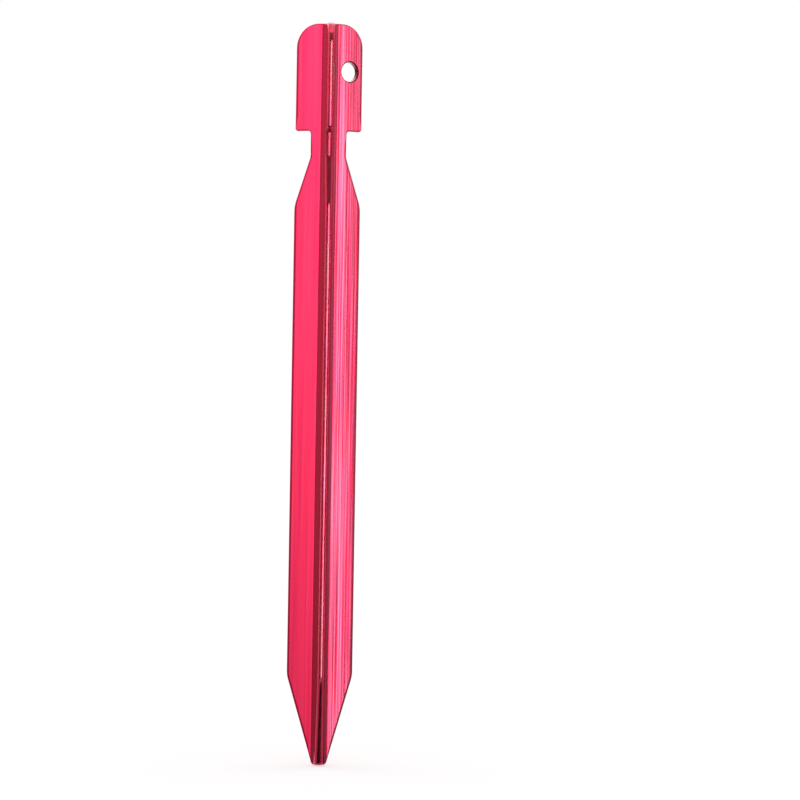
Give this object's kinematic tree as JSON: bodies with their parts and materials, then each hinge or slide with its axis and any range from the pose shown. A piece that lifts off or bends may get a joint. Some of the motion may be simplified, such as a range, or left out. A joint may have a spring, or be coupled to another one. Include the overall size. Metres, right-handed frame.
{
  "type": "tent stake",
  "caption": "Y-section aluminium tent stake with a rounded head, a waisted neck under a ledge for guy lines, a cord hole and a tapered tip, in glossy red-pink anodising.",
  "frame": {"origin": "on the stake's axis, at the blunt end of its tip, where it enters the ground", "axes": "+Z along the stake from the tip to the head; one fin along -Y, the drilled fin along (+X, +Y)"},
  "size_m": [0.0162, 0.0141, 0.18],
  "materials": {
    "anodised_aluminium": "glossy red-pink anodised"
  },
  "bodies": {
    "root": {"stake": "anodised_aluminium"}
  },
  "joints": []
}
